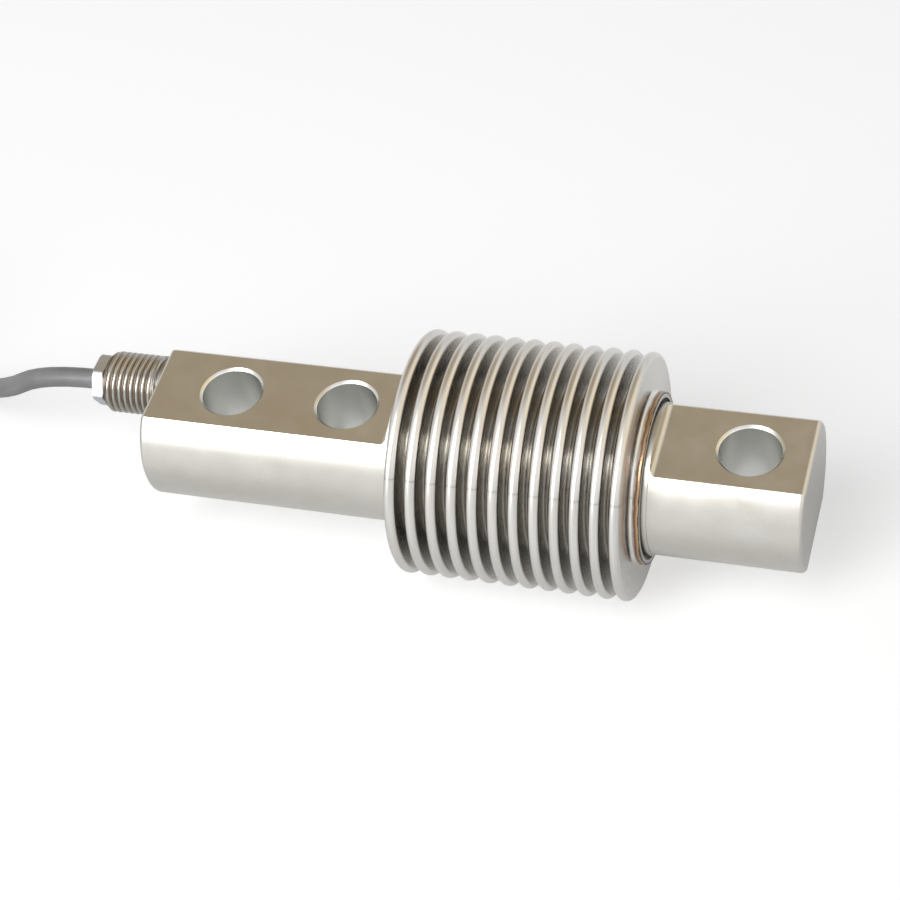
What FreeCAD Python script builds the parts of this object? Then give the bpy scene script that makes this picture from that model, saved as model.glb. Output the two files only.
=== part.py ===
import FreeCAD, Part
import Sketcher
import math
import os

# Weighing load cell: a round stainless bar that bends under load, with flats and bolt holes at both
# ends, a sensing beam at its middle under a welded metal bellows, and a cable gland at the fixed end.
# Lengths are in millimetres. X runs along the bar to the loaded end, Z is up, and the origin is on
# the surface that the bellows lies on, under the middle of the cell's length.

doc = FreeCAD.newDocument("WeighingLoadCell")
Vector = FreeCAD.Vector

DIMENSIONS = [
    ("BarDiameter", 30.3, "round bar at both ends"),
    ("FlatDepth", 3.4, "round side down to each flat"),
    ("RearMargin", 16.98, "fixed end to the rear mounting hole"),
    ("MountPitch", 25.0, "between the two mounting holes"),
    ("FrontMargin", 11.05, "front mounting hole to the end of the flat"),
    ("LoadMargin", 18.15, "start of the loaded flat to the load hole"),
    ("TipMargin", 12.3, "load hole to the loaded end"),
    ("HoleDiameter", 12.5, "mounting and load holes"),
    ("HoleChamfer", 0.5, "rims of the holes"),
    ("EndRound", 0.9, "rounded edges of both end faces"),
    ("FlatRootRadius", 1.2, "milled corner where a flat stops"),
    ("CollarStep", 0.35, "full round collar beside each weld ring, above the bar"),
    ("CollarWidth", 1.0, "collar seen between a flat and a weld ring"),
    ("ReliefGap", 0.85, "groove between the collar and each weld lip"),
    ("ReliefDepth", 1.8, "groove between the collar and each weld lip"),
    ("LipWall", 0.3, "weld lip that carries the bellows"),
    ("SeatWidth", 3.0, "seat of the bellows, lip and land"),
    ("CoreStep", 0.65, "bar inside the bellows, below the bar outside"),
    ("CoreLand", 5.25, "round stretch between a seat and the sensing beam"),
    ("BeamWidth", 14.0, "sensing beam from side to side"),
    ("BeamHeight", 18.0, "sensing beam from top to bottom"),
    ("EyeDiameter", 12.0, "the two bores of the sensing beam"),
    ("EyeSpacing", 20.0, "between the bores of the sensing beam"),
    ("EyeSlot", 4.0, "slot that joins the bores"),
    ("ConvolutionDepth", 8.15, "from a root to a crest"),
    ("ConvolutionPitch", 4.08, "from crest to crest"),
    ("ConvolutionWidth", 2.3, "one crest, outside to outside"),
    ("ConvolutionCount", 12, "crests of the bellows"),
    ("BellowsWall", 0.3, "sheet of the bellows"),
    ("RingWidth", 1.35, "weld rings on the cuffs"),
    ("RingWall", 0.45, "weld rings, radially"),
    ("Clearance", 0.05, "between round fits, radially"),
    ("CutOver", 4.0, "how far a milling cut starts outside the metal"),
    ("CableDiameter", 4.4, "jacket of the cable"),
    ("ChannelGap", 0.2, "between the cable and its channel"),
    ("ChannelWall", 0.65, "metal between the channel and the mounting holes"),
    ("PottingWall", 1.0, "sealed mouth of the channel, round the channel"),
    ("PottingDepth", 3.0, "sealed mouth of the channel"),
    ("SpigotDiameter", 8.0, "screwed root of the gland"),
    ("SpigotLength", 7.0, "screwed root of the gland"),
    ("NippleDiameter", 13.16, "thread of the gland over its crests"),
    ("NeckWall", 1.0, "plain neck of the gland, round its sealing ring"),
    ("NeckLength", 4.0, "plain neck of the gland"),
    ("NippleReach", 16.12, "gland body in front of the bar"),
    ("NippleChamfer", 1.2, "start of the gland's thread"),
    ("SealWall", 2.0, "rubber bush round the cable, radially"),
    ("ChamberDepth", 9.0, "clamping chamber of the gland"),
    ("WasherThickness", 0.8, "slip washers on both sides of the seal"),
    ("ScrewGap", 0.15, "gland body to the head of the compression screw"),
    ("ScrewShank", 3.5, "compression screw under its head"),
    ("ScrewHead", 2.45, "hexagon of the compression screw"),
    ("ScrewFlats", 10.0, "across the flats of the hexagon"),
    ("ScrewChamfer", 0.2, "corners of the hexagon"),
    ("ScrewTurn", 2.5, "turn of the hexagon about its axis, in degrees"),
    ("RingSection", 0.9, "section of the gland's sealing ring"),
    ("GaugeLength", 9.0, "strain gauge along the beam"),
    ("GaugeWidth", 6.0, "strain gauge across the beam"),
    ("GaugeThickness", 0.25, "strain gauge with its cover"),
    ("BoardLength", 14.0, "circuit boards on the beam's sides"),
    ("BoardHeight", 9.0, "circuit boards on the beam's sides"),
    ("BoardThickness", 1.0, "circuit boards on the beam's sides"),
    ("ResistorLength", 2.4, "trimming resistors"),
    ("ResistorHeight", 5.0, "trimming resistors"),
    ("ResistorThickness", 0.8, "trimming resistors"),
    ("ResistorPitch", 4.0, "between the trimming resistors"),
    ("WireDiameter", 0.9, "insulated wires inside the cell"),
    ("WirePitch", 1.0, "between those wires in the cable"),
    ("PadPitch", 1.8, "between those wires on the terminal board"),
    ("PadDepth", 2.25, "edge of the terminal board to the ends of those wires"),
    ("BridgeWireDiameter", 0.3, "enamelled wires of the gauges"),
    ("CoreWireDiameter", 0.7, "stripped wires at the cable's free end"),
    ("CorePitch", 0.77, "between the stripped wires"),
    ("InnerTurn", 21.6, "radius of the coil's innermost turn"),
    ("TurnsAcross", 3, "turns side by side in the coil"),
    ("TurnsUp", 6, "layers of the coil"),
    ("TopTurns", 2, "turns side by side in the coil's top layer"),
    ("LeadIn", 19.0, "straight start of the coil's first turn"),
    ("TieThickness", 0.8, "strap round the coil"),
    ("TieWidth", 6.0, "strap round the coil"),
    ("TieClearance", 0.1, "strap to coil"),
    ("StrippedAngle", 90.0, "open quarter of the coil's last turn, in degrees"),
]


class Size:
    """A value with the sheet formula that gives it."""

    def __init__(self, formula, value):
        self.formula = formula
        self.value = value

    def joined(self, sign, other, value):
        return Size("(%s %s %s)" % (self.formula, sign, formula_of(other)), value)

    def __add__(self, other):
        return self.joined("+", other, self.value + value_of(other))

    def __sub__(self, other):
        return self.joined("-", other, self.value - value_of(other))

    def __mul__(self, other):
        return self.joined("*", other, self.value * value_of(other))

    def __truediv__(self, other):
        return self.joined("/", other, self.value / value_of(other))

    def __neg__(self):
        return Size("(0 - %s)" % self.formula, -self.value)

    def __rsub__(self, other):
        return Size("(%s - %s)" % (other, self.formula), other - self.value)


def formula_of(size):
    return size.formula if isinstance(size, Size) else str(size)


def value_of(size):
    return size.value if isinstance(size, Size) else size


def driving_dimensions():
    sheet = doc.addObject("Spreadsheet::Sheet", "Sizes")
    sizes = {}
    for row, (alias, value, meaning) in enumerate(DIMENSIONS, start=1):
        sheet.set("A%d" % row, meaning)
        sheet.set("B%d" % row, str(value))
        sheet.setAlias("B%d" % row, alias)
        sizes[alias] = Size("Sizes." + alias, value)
    return sizes


size = driving_dimensions()
doc.recompute()

# Stations along the bar, counted from its fixed end
rear_hole = size["RearMargin"]
front_hole = rear_hole + size["MountPitch"]
fixed_flat_end = front_hole + size["FrontMargin"]
fixed_ring = fixed_flat_end + size["CollarWidth"]
bellows_start = fixed_ring + size["RingWidth"]
bellows_length = size["ConvolutionPitch"] * size["ConvolutionCount"]
bellows_end = bellows_start + bellows_length
load_ring = bellows_end + size["RingWidth"]
load_flat_start = load_ring + size["CollarWidth"]
load_hole = load_flat_start + size["LoadMargin"]
bar_end = load_hole + size["TipMargin"]
beam_middle = bellows_start + bellows_length / 2
beam_start = fixed_ring + size["SeatWidth"] + size["CoreLand"]
beam_end = load_ring - size["SeatWidth"] - size["CoreLand"]

# Radii and half widths
bar_radius = size["BarDiameter"] / 2
collar_radius = bar_radius + size["CollarStep"]
core_radius = bar_radius - size["CoreStep"]
flat_half = bar_radius - size["FlatDepth"]
lip_bore = collar_radius + size["ReliefGap"]
seat_radius = lip_bore + size["LipWall"]
cuff_bore = seat_radius + size["Clearance"]
root_radius = cuff_bore + size["BellowsWall"]
crest_radius = root_radius + size["ConvolutionDepth"]

# The cable and what fits round it, beside the bar's axis
cable_radius = size["CableDiameter"] / 2
channel_radius = cable_radius + size["ChannelGap"]
cable_offset = size["HoleDiameter"] / 2 + size["ChannelWall"] + channel_radius
potting_radius = channel_radius + size["PottingWall"]
seal_radius = cable_radius + size["Clearance"] + size["SealWall"]
chamber_radius = seal_radius + size["Clearance"]
spigot_radius = size["SpigotDiameter"] / 2
ring_bore = spigot_radius + size["Clearance"]
ring_middle = ring_bore + size["RingSection"] / 2
ring_outside = ring_bore + size["RingSection"] + size["Clearance"]
neck_radius = ring_outside + size["NeckWall"]
thread_radius = size["NippleDiameter"] / 2

# Reaches of the gland, counted outwards from the bar's fixed end
chamber_floor = size["NippleReach"] - size["ChamberDepth"]
seal_start = chamber_floor + size["WasherThickness"]
head_start = size["NippleReach"] + size["ScrewGap"]
head_end = head_start + size["ScrewHead"]
shank_start = head_start - size["ScrewShank"]
seal_end = shank_start - size["WasherThickness"]

# The part's frame: the fixed end and the axis of the bar
fixed_end_x = (head_end - bar_end) / 2
axis_z = crest_radius

# The free cable's route, at hand-picked places, and the turns that it ends in
RUN_TO_BEND = 28.0
RUN_DOWN = (28.0, 14.0)
RUN_ON_FLOOR = 20.0
ARC_SHARE = 0.45
outer_turn = size["InnerTurn"] + size["CableDiameter"] * (size["TurnsAcross"] - 1)

parts = []


def bind(thing, prop, amount):
    """Sets a property from the sheet."""
    thing.setExpression(prop, formula_of(amount))


def place(thing, x, y, z, turn=None):
    """Puts a sub-part at bound coordinates of the part's frame."""
    if turn is not None:
        thing.Placement = FreeCAD.Placement(Vector(0, 0, 0), turn)
    bind(thing, "Placement.Base.x", x)
    bind(thing, "Placement.Base.y", y)
    bind(thing, "Placement.Base.z", z)


def new_body(name):
    body = doc.addObject("PartDesign::Body", name)
    body.Label = name
    parts.append(body)
    return body


def new_sketch(body, name, plane):
    sketch = body.newObject("Sketcher::SketchObject", name)
    sketch.AttachmentSupport = (origin_feature(body, plane), [""])
    sketch.MapMode = "FlatFace"
    return sketch


def origin_feature(body, role):
    for feature in body.Origin.OriginFeatures:
        if feature.Role == role:
            return feature


def hold(sketch, kind, axis, geometry, point, amount):
    """Holds one coordinate of a sketch point at a bound distance from the sketch's origin."""
    distance = value_of(amount)
    if abs(distance) < 1e-9:
        sketch.addConstraint(Sketcher.Constraint("PointOnObject", geometry, point, axis))
        return
    if distance > 0:
        row = sketch.addConstraint(Sketcher.Constraint(kind, -1, 1, geometry, point, distance))
        sketch.setExpression("Constraints[%d]" % row, formula_of(amount))
    else:
        row = sketch.addConstraint(Sketcher.Constraint(kind, geometry, point, -1, 1, -distance))
        sketch.setExpression("Constraints[%d]" % row, "0 - " + formula_of(amount))


def hold_across(sketch, geometry, point, amount):
    hold(sketch, "DistanceX", -2, geometry, point, amount)


def hold_up(sketch, geometry, point, amount):
    hold(sketch, "DistanceY", -1, geometry, point, amount)


def add_outline(sketch, corners):
    """Adds a closed outline. A corner is (across, up), and its edge runs straight to the next one.

    A corner (across, up, centre, turn) starts an arc about centre, with turn 1 for anticlockwise
    and -1 for clockwise. The centre is held across if the arc is a quarter, and up if it is a half.
    """
    first = sketch.GeometryCount
    spots = [Vector(value_of(corner[0]), value_of(corner[1]), 0) for corner in corners]
    entries = []
    for index, corner in enumerate(corners):
        start = spots[index]
        end = spots[(index + 1) % len(spots)]
        if len(corner) == 2:
            sketch.addGeometry(Part.LineSegment(start, end), False)
            entries.append((1, 2))
            continue
        centre = Vector(value_of(corner[2][0]), value_of(corner[2][1]), 0)
        begin, finish = (start, end) if corner[3] > 0 else (end, start)
        angles = [math.atan2(spot.y - centre.y, spot.x - centre.x) for spot in (begin, finish)]
        if angles[1] < angles[0]:
            angles[1] += 2 * math.pi
        circle = Part.Circle(centre, Vector(0, 0, 1), begin.distanceToPoint(centre))
        sketch.addGeometry(Part.ArcOfCircle(circle, angles[0], angles[1]), False)
        entries.append((1, 2) if corner[3] > 0 else (2, 1))
    for index, corner in enumerate(corners):
        edge = first + index
        following = (index + 1) % len(corners)
        sketch.addConstraint(
            Sketcher.Constraint("Coincident", edge, entries[index][1], first + following, entries[following][0])
        )
        hold_across(sketch, edge, entries[index][0], corner[0])
        hold_up(sketch, edge, entries[index][0], corner[1])
        if len(corner) == 4:
            half_turn = abs(spots[index].y - spots[following].y) < 1e-9
            if half_turn:
                hold_up(sketch, edge, 3, corner[2][1])
            else:
                hold_across(sketch, edge, 3, corner[2][0])


def add_circle(sketch, across, up, radius):
    centre = Vector(value_of(across), value_of(up), 0)
    geometry = sketch.addGeometry(Part.Circle(centre, Vector(0, 0, 1), value_of(radius)), False)
    hold_across(sketch, geometry, 3, across)
    hold_up(sketch, geometry, 3, up)
    row = sketch.addConstraint(Sketcher.Constraint("Radius", geometry, value_of(radius)))
    sketch.setExpression("Constraints[%d]" % row, formula_of(radius))


def rectangle(left, right, low, high):
    return [(left, low), (right, low), (right, high), (left, high)]


def turned(body, name, corners, axis="H_Axis"):
    """A turned form: an outline beside an axis of its sketch, revolved about it."""
    sketch = new_sketch(body, name + "_profile", "XZ_Plane")
    add_outline(sketch, corners)
    revolution = body.newObject("PartDesign::Revolution", name)
    revolution.Profile = sketch
    revolution.ReferenceAxis = (sketch, [axis])
    revolution.Angle = 360
    return revolution


def cut_through(body, sketch, name):
    """A pocket that passes through the whole body on both sides of its sketch."""
    pocket = body.newObject("PartDesign::Pocket", name)
    pocket.Profile = sketch
    pocket.Type = "ThroughAll"
    pocket.SideType = "Symmetric"
    return pocket


def mirrored(body, feature, plane, name):
    mirror = body.newObject("PartDesign::Mirrored", name)
    mirror.Originals = [feature]
    mirror.MirrorPlane = (origin_feature(body, plane), [""])
    body.Tip = mirror
    return mirror


def dressed(body, kind, name, prop, amount, wanted):
    """A fillet or chamfer on the edges of the body so far that pass a test."""
    doc.recompute()
    base = body.Tip
    edges = ["Edge%d" % (row + 1) for row, edge in enumerate(base.Shape.Edges) if wanted(edge)]
    feature = body.newObject(kind, name)
    feature.Base = (base, edges)
    bind(feature, prop, amount)
    return feature


def near(one, other):
    return abs(one - value_of(other)) < 1e-4


def spring_element():
    """One-piece bar: turned, then milled, drilled and dressed."""
    body = new_body("spring_element")
    groove_end = fixed_ring + size["ReliefDepth"]
    seat_end = fixed_ring + size["SeatWidth"]
    far_groove = load_ring - size["ReliefDepth"]
    far_seat = load_ring - size["SeatWidth"]
    turned(body, "turned_bar", [
        (0, 0),
        (bar_end, 0),
        (bar_end, bar_radius),
        (load_flat_start, bar_radius),
        (load_flat_start, collar_radius),
        (far_groove, collar_radius),
        (far_groove, lip_bore),
        (load_ring, lip_bore),
        (load_ring, seat_radius),
        (far_seat, seat_radius),
        (far_seat, core_radius),
        (seat_end, core_radius),
        (seat_end, seat_radius),
        (fixed_ring, seat_radius),
        (fixed_ring, lip_bore),
        (groove_end, lip_bore),
        (groove_end, collar_radius),
        (fixed_flat_end, collar_radius),
        (fixed_flat_end, bar_radius),
        (0, bar_radius),
    ])
    mill_flats(body)
    mill_beam(body)
    drill_bar(body)
    place(body, fixed_end_x, 0, axis_z)
    return body


def mill_flats(body):
    """Flats on top and underneath at both ends, with a milled radius where each one stops."""
    beyond = collar_radius + size["CutOver"]
    stretches = [
        ("fixed_flat", -size["CutOver"], fixed_flat_end),
        ("load_flat", load_flat_start, bar_end + size["CutOver"]),
    ]
    for name, left, right in stretches:
        sketch = new_sketch(body, name + "_sketch", "XZ_Plane")
        add_outline(sketch, rectangle(left, right, flat_half, beyond))
        pocket = cut_through(body, sketch, name)
        mirrored(body, pocket, "XY_Plane", name + "_underneath")

    def flat_root(edge):
        middle = edge.CenterOfMass
        on_wall = near(middle.x, fixed_flat_end) or near(middle.x, load_flat_start)
        return on_wall and near(abs(middle.z), flat_half) and abs(middle.y) < 1e-6

    dressed(body, "PartDesign::Fillet", "flat_roots", "Radius", size["FlatRootRadius"], flat_root)


def mill_beam(body):
    """The bar's middle milled to a beam with two linked bores, which leave thin webs that bend."""
    beyond = collar_radius + size["CutOver"]
    sides = new_sketch(body, "beam_side_sketch", "XY_Plane")
    add_outline(sides, rectangle(beam_start, beam_end, size["BeamWidth"] / 2, beyond))
    side_cut = cut_through(body, sides, "beam_side")
    mirrored(body, side_cut, "XZ_Plane", "beam_other_side")
    faces = new_sketch(body, "beam_face_sketch", "XZ_Plane")
    add_outline(faces, rectangle(beam_start, beam_end, size["BeamHeight"] / 2, beyond))
    face_cut = cut_through(body, faces, "beam_face")
    mirrored(body, face_cut, "XY_Plane", "beam_other_face")
    eyes = new_sketch(body, "eye_sketch", "XZ_Plane")
    for side in (-0.5, 0.5):
        add_circle(eyes, beam_middle + size["EyeSpacing"] * side, 0, size["EyeDiameter"] / 2)
    cut_through(body, eyes, "eyes")
    slot = new_sketch(body, "slot_sketch", "XZ_Plane")
    reach = size["EyeSpacing"] / 2
    half_slot = size["EyeSlot"] / 2
    add_outline(slot, rectangle(beam_middle - reach, beam_middle + reach, -half_slot, half_slot))
    cut_through(body, slot, "eye_slot")


def drill_bar(body):
    """Bolt holes, the cable channel with its two counterbores, and the broken edges."""
    holes = new_sketch(body, "hole_sketch", "XY_Plane")
    for station in (rear_hole, front_hole, load_hole):
        add_circle(holes, station, 0, size["HoleDiameter"] / 2)
    cut_through(body, holes, "bolt_holes")
    socket_depth = size["SpigotLength"] + size["Clearance"]
    bores = [
        ("channel", channel_radius, 0, beam_start, True),
        ("gland_socket", spigot_radius + size["Clearance"], 0, socket_depth, True),
        ("channel_mouth", potting_radius, beam_start, size["PottingDepth"], False),
    ]
    for name, radius, station, depth, inwards in bores:
        sketch = new_sketch(body, name + "_sketch", "YZ_Plane")
        bind(sketch, "AttachmentOffset.Base.z", station)
        add_circle(sketch, cable_offset, 0, radius)
        pocket = body.newObject("PartDesign::Pocket", name)
        pocket.Profile = sketch
        pocket.Reversed = inwards
        bind(pocket, "Length", depth)

    def hole_rim(edge):
        middle = edge.CenterOfMass
        on_station = any(near(middle.x, station) for station in (rear_hole, front_hole, load_hole))
        return edge.Closed and on_station and near(abs(middle.z), flat_half)

    dressed(body, "PartDesign::Chamfer", "hole_rims", "Size", size["HoleChamfer"], hole_rim)

    def end_edge(edge):
        box = edge.BoundBox
        on_end = any(near(box.XMin, end) and near(box.XMax, end) for end in (0, bar_end))
        return on_end and not edge.Closed

    dressed(body, "PartDesign::Fillet", "end_edges", "Radius", size["EndRound"], end_edge)


def bellows():
    """Thin-walled bellows: one convolution revolved and repeated, with a plain cuff at each end."""
    body = new_body("bellows")
    wall = size["BellowsWall"]
    pitch = size["ConvolutionPitch"]
    crest_bend = size["ConvolutionWidth"] / 2
    root_bend = pitch / 2 - crest_bend
    middle = pitch / 2
    left = middle - crest_bend
    right = middle + crest_bend
    low = root_radius + root_bend
    high = crest_radius - crest_bend
    convolution = turned(body, "convolution", [
        (0, root_radius, (0, low), 1),
        (left, low),
        (left, high, (middle, high), -1),
        (right, high),
        (right, low, (pitch, low), 1),
        (pitch, root_radius),
        (pitch, cuff_bore, (pitch, low), -1),
        (right - wall, low),
        (right - wall, high, (middle, high), 1),
        (left + wall, high),
        (left + wall, low, (0, low), -1),
        (0, cuff_bore),
    ])
    row = body.newObject("PartDesign::LinearPattern", "convolutions")
    row.Originals = [convolution]
    row.Direction = (origin_feature(body, "X_Axis"), [""])
    bind(row, "Length", pitch * (size["ConvolutionCount"] - 1))
    bind(row, "Occurrences", size["ConvolutionCount"])
    body.Tip = row
    ring = size["RingWidth"]
    turned(body, "fixed_cuff", rectangle(-ring, 0, cuff_bore, root_radius))
    turned(body, "load_cuff", rectangle(bellows_length, bellows_length + ring, cuff_bore, root_radius))
    place(body, fixed_end_x + bellows_start, 0, axis_z)
    return body


def weld_ring(name, station):
    """Ring that backs the weld of one cuff."""
    body = new_body(name)
    bore = root_radius + size["Clearance"]
    turned(body, name + "_section", rectangle(0, size["RingWidth"], bore, bore + size["RingWall"]))
    place(body, fixed_end_x + station, 0, axis_z)
    return body


def strain_gauge(name, side, upward):
    """Foil gauge with its cover, glued over the thinnest web above or below one bore."""
    gauge = doc.addObject("Part::Box", name)
    gauge.Label = name
    bind(gauge, "Length", size["GaugeLength"])
    bind(gauge, "Width", size["GaugeWidth"])
    bind(gauge, "Height", size["GaugeThickness"])
    station = beam_middle + size["EyeSpacing"] / 2 * side
    half = size["BeamHeight"] / 2
    level = axis_z + half if upward else axis_z - half - size["GaugeThickness"]
    place(gauge, fixed_end_x + station - size["GaugeLength"] / 2, -size["GaugeWidth"] / 2, level)
    parts.append(gauge)
    return gauge


def circuit_board(name, offset):
    """Small board glued to one side of the sensing beam."""
    board = doc.addObject("Part::Box", name)
    board.Label = name
    bind(board, "Length", size["BoardLength"])
    bind(board, "Width", size["BoardThickness"])
    bind(board, "Height", size["BoardHeight"])
    start = fixed_end_x + beam_middle - size["BoardLength"] / 2
    place(board, start, offset, axis_z - size["BoardHeight"] / 2)
    parts.append(board)
    return board


def trimming_resistors():
    """Three resistors on the compensation board."""
    resistors = []
    for number in (-1, 0, 1):
        chip = doc.addObject("Part::Box", "resistor_%d" % (number + 2))
        bind(chip, "Length", size["ResistorLength"])
        bind(chip, "Width", size["ResistorThickness"])
        bind(chip, "Height", size["ResistorHeight"])
        middle = fixed_end_x + beam_middle + size["ResistorPitch"] * number
        outside = size["BeamWidth"] / 2 + size["BoardThickness"] + size["ResistorThickness"]
        place(chip, middle - size["ResistorLength"] / 2, -outside, axis_z - size["ResistorHeight"] / 2)
        resistors.append(chip)
    group = doc.addObject("Part::Compound", "trim_resistors")
    group.Label = "trim_resistors"
    group.Links = resistors
    parts.append(group)
    return group


def gland_body(name, roll=0):
    """A body on the cable's axis whose own X points outwards from the bar's fixed end."""
    body = new_body(name)
    outwards = FreeCAD.Rotation(Vector(0, 0, 1), 180)
    rolled = FreeCAD.Rotation(Vector(1, 0, 0), -value_of(roll))
    place(body, fixed_end_x, cable_offset, axis_z, rolled * outwards)
    return body


def gland_nipple():
    """Threaded body of the gland, screwed into the bar, with a clamping chamber at its mouth."""
    body = gland_body("gland_nipple")
    reach = size["NippleReach"]
    turned(body, "nipple", [
        (-size["SpigotLength"], channel_radius),
        (chamber_floor, channel_radius),
        (chamber_floor, chamber_radius),
        (reach, chamber_radius),
        (reach, thread_radius - size["NippleChamfer"]),
        (reach - size["NippleChamfer"], thread_radius),
        (size["NeckLength"], thread_radius),
        (size["NeckLength"], neck_radius),
        (0, neck_radius),
        (0, ring_outside),
        (size["RingSection"], ring_outside),
        (size["RingSection"], spigot_radius),
        (-size["SpigotLength"], spigot_radius),
    ])
    return body


def gland_ring():
    """Rubber ring squeezed between the gland's shoulder and the end of the bar."""
    ring = doc.addObject("Part::Torus", "gland_o_ring")
    ring.Label = "gland_o_ring"
    bind(ring, "Radius1", ring_middle)
    bind(ring, "Radius2", size["RingSection"] / 2)
    sideways = FreeCAD.Rotation(Vector(0, 1, 0), 90)
    place(ring, fixed_end_x - size["RingSection"] / 2, cable_offset, axis_z, sideways)
    parts.append(ring)
    return ring


def gland_insert(name, start, end):
    """A washer or the rubber bush: a ring round the cable in the clamping chamber."""
    body = gland_body(name)
    inside = cable_radius + size["Clearance"]
    turned(body, name + "_section", rectangle(start, end, inside, seal_radius))
    return body


def gland_screw():
    """Hollow compression screw: a turned blank with a hexagon milled on its head."""
    body = gland_body("gland_screw", size["ScrewTurn"])
    chamfer = size["ScrewChamfer"]
    corner = size["ScrewFlats"] / math.sqrt(3) - chamfer
    turned(body, "screw_blank", [
        (shank_start, channel_radius),
        (head_end, channel_radius),
        (head_end, corner - chamfer),
        (head_end - chamfer, corner),
        (head_start + chamfer, corner),
        (head_start, corner - chamfer),
        (head_start, seal_radius),
        (shank_start, seal_radius),
    ])
    sketch = new_sketch(body, "hexagon_sketch", "XZ_Plane")
    add_outline(sketch, rectangle(head_start, head_end, size["ScrewFlats"] / 2, size["ScrewFlats"]))
    flat = cut_through(body, sketch, "hexagon_flat")
    hexagon = body.newObject("PartDesign::PolarPattern", "hexagon")
    hexagon.Originals = [flat]
    hexagon.Axis = (origin_feature(body, "X_Axis"), [""])
    hexagon.Angle = 360
    hexagon.Occurrences = 6
    body.Tip = hexagon
    return body


def potting():
    """Sealing compound round the cable where its channel opens into the bellows."""
    body = new_body("channel_potting")
    inside = cable_radius + size["Clearance"]
    outside = potting_radius - size["Clearance"]
    turned(body, "potting_ring", rectangle(-size["PottingDepth"], 0, inside, outside))
    place(body, fixed_end_x + beam_start, cable_offset, axis_z)
    return body


def cable_in_channel():
    """The stretch of cable that the gland and the channel hold."""
    cable = doc.addObject("Part::Cylinder", "cable_in_channel")
    cable.Label = "cable_in_channel"
    bind(cable, "Radius", cable_radius)
    bind(cable, "Height", beam_start + head_end)
    lying = FreeCAD.Rotation(Vector(0, 1, 0), 90)
    place(cable, fixed_end_x - head_end, cable_offset, axis_z, lying)
    parts.append(cable)
    return cable


def round_tube(points, diameter, bend=None):
    """A tube along straight runs joined by tangent arcs, with its arcs' radii and its length.

    The arcs are as large as the runs allow, or of the radius bend.
    """
    edges = []
    radii = []
    start = points[0]
    for before, corner, after in zip(points, points[1:], points[2:]):
        come = (corner - before).normalize()
        leave = (after - corner).normalize()
        half_turn = come.getAngle(leave) / 2
        setback = ARC_SHARE * min(before.distanceToPoint(corner), corner.distanceToPoint(after))
        if bend is not None:
            setback = bend * math.tan(half_turn)
        radius = setback / math.tan(half_turn)
        first = corner - come * setback
        last = corner + leave * setback
        inward = (leave - come).normalize()
        middle = corner + inward * (radius / math.cos(half_turn) - radius)
        edges.append(Part.LineSegment(start, first).toShape())
        edges.append(Part.Arc(first, middle, last).toShape())
        radii.append(radius)
        start = last
    edges.append(Part.LineSegment(start, points[-1]).toShape())
    path = Part.Wire(edges)
    heading = points[1] - points[0]
    section = Part.Wire(Part.makeCircle(diameter / 2, points[0], heading))
    tube = path.makePipeShell([section], True, True)
    return tube, radii, path.Length


def tube_part(name, shapes):
    """A sub-part whose shape is set by code, because its route is a list of points."""
    tube = doc.addObject("Part::Feature", name)
    tube.Label = name
    tube.Shape = shapes[0] if len(shapes) == 1 else Part.makeCompound(shapes)
    parts.append(tube)
    return tube


def lead_wires():
    """Four insulated wires from the cable's inner end to the terminal board."""
    diameter = value_of(size["WireDiameter"])
    mouth = value_of(fixed_end_x + beam_start)
    pad = value_of(fixed_end_x + beam_middle - size["BoardLength"] / 2)
    face = value_of(size["BeamWidth"] / 2 + size["BoardThickness"] + size["Clearance"]) + diameter / 2
    centre_y = value_of(cable_offset)
    centre_z = value_of(axis_z)
    fan_start = mouth + (pad - mouth) * 0.4
    fan_end = mouth + (pad - mouth) * 0.9
    wires = []
    for row in (-1.5, -0.5, 0.5, 1.5):
        level = centre_z + row * value_of(size["PadPitch"])
        offset = row * value_of(size["WirePitch"])
        wire, radii, length = round_tube([
            Vector(mouth, centre_y, centre_z + offset),
            Vector(fan_start, centre_y, centre_z + offset),
            Vector(fan_end, face, level),
            Vector(pad + value_of(size["PadDepth"]), face, level),
        ], diameter)
        wires.append(wire)
    return tube_part("lead_wires", wires)


def bridge_wires():
    """A thin wire from each gauge, over the beam's edge and down its side to the terminal board."""
    diameter = value_of(size["BridgeWireDiameter"])
    off_face = diameter / 2 + value_of(size["Clearance"])
    middle = value_of(fixed_end_x + beam_middle)
    gauge_end = value_of(size["EyeSpacing"] / 2 - size["GaugeLength"] / 2)
    over_x = gauge_end - 5 * diameter
    start_y = value_of(size["GaugeWidth"]) / 4
    side_y = value_of(size["BeamWidth"]) / 2 + off_face
    face = value_of(size["BeamHeight"]) / 2 + off_face
    edge = value_of(size["BoardHeight"]) / 2
    centre_z = value_of(axis_z)
    wires = []
    for along in (-1, 1):
        for upward in (-1, 1):
            wire, radii, length = round_tube([
                Vector(middle + along * gauge_end, start_y, centre_z + upward * face),
                Vector(middle + along * over_x, start_y, centre_z + upward * face),
                Vector(middle + along * over_x, side_y, centre_z + upward * face),
                Vector(middle + along * over_x, side_y, centre_z + upward * edge),
            ], diameter, diameter)
            wires.append(wire)
    return tube_part("bridge_wires", wires)


def cable_route():
    """Points of the free cable from the gland down to the surface and along it to the coil."""
    exit_x = value_of(fixed_end_x - head_end)
    exit_y = value_of(cable_offset)
    low = value_of(cable_radius)
    bend_x = exit_x - RUN_TO_BEND
    floor_x = bend_x - RUN_DOWN[0]
    floor_y = exit_y + RUN_DOWN[1]
    return [
        Vector(exit_x, exit_y, value_of(axis_z)),
        Vector(bend_x, exit_y, value_of(axis_z)),
        Vector(floor_x, floor_y, low),
        Vector(floor_x - RUN_ON_FLOOR, floor_y, low),
    ]


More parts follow.
